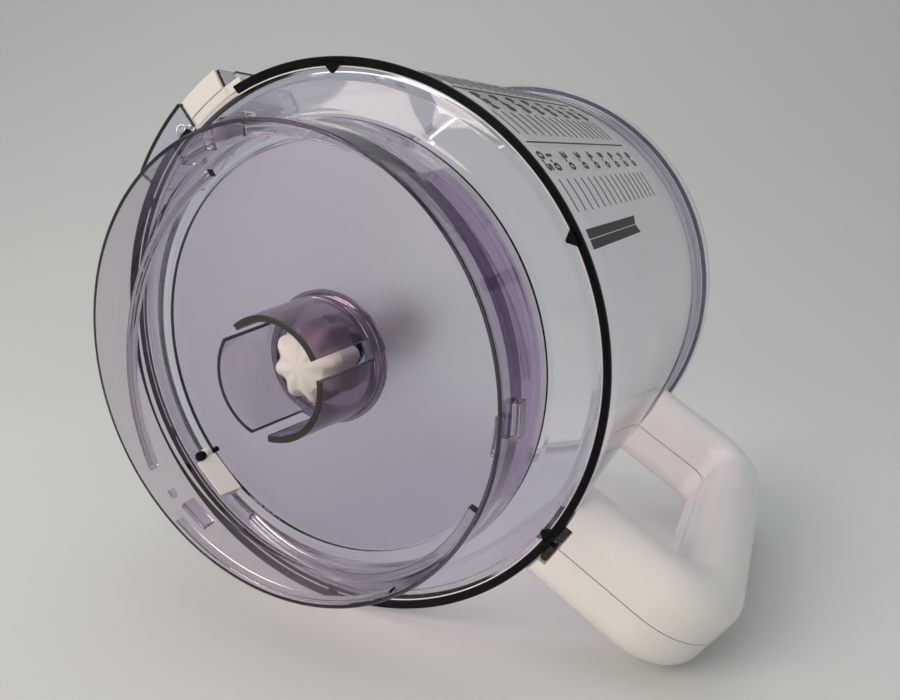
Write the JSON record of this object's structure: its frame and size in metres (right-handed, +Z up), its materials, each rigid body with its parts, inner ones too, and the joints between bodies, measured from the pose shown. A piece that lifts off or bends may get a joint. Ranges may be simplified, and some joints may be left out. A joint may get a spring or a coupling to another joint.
{
  "type": "food processor bowl",
  "caption": "Smoky clear food processor work bowl with white loop handle, locking skirt, split drive collar, lobed coupling, anti-slip ring and sprung interlock.",
  "frame": {"origin": "on the bowl's axis, in the plane of the locking skirt's rim and the collar's mouth", "axes": "+Z up the bowl's axis to its open rim, +X through the middle of the handle"},
  "size_m": [0.2191, 0.176, 0.176],
  "materials": {
    "smoky_clear": "clear moulded plastic with a grey-violet tint",
    "black_rubber": "soft black",
    "white_plastic": "warm white satin",
    "steel": "turned",
    "bronze": "sintered"
  },
  "bodies": {
    "bowl_body": {"bowl": "smoky_clear", "locking_skirt": "smoky_clear", "centre_collar": "smoky_clear", "anti_slip_ring": "black_rubber", "lower_bush": "bronze", "upper_bush": "bronze", "shaft_seal": "black_rubber", "handle_left_half": "white_plastic", "handle_right_half": "white_plastic", "handle_screws": "steel", "interlock_guide": "smoky_clear", "interlock_spring": "steel", "pawl_pin": "black_rubber"},
    "spindle": {"drive_spindle": "steel", "drive_coupling": "white_plastic", "thrust_washer": "steel", "retaining_clip": "steel"},
    "slider": {"interlock_slider": "white_plastic"},
    "pawl": {"locking_pawl": "white_plastic"}
  },
  "joints": [
    {"name": "spindle_spin", "type": "hinge", "parent": "bowl_body", "child": "spindle", "pos_m": [0, 0, 0.026], "axis": [0, 0, 1], "continuous": true},
    {"name": "slider_press", "type": "slide", "parent": "bowl_body", "child": "slider", "axis": [0, 0, -1], "range_m": [0, 0.005], "stiffness_N_per_m": 300, "springref_m": -0.001, "deforming": ["interlock_spring"]},
    {"name": "pawl_swing", "type": "hinge", "parent": "bowl_body", "child": "pawl", "pos_m": [-0.01872, 0.05437, 0.023], "axis": [0, 0, 1], "range_deg": [-8, 0], "stiffness_Nm_per_rad": 0.05, "springref_deg": 1.15}
  ]
}
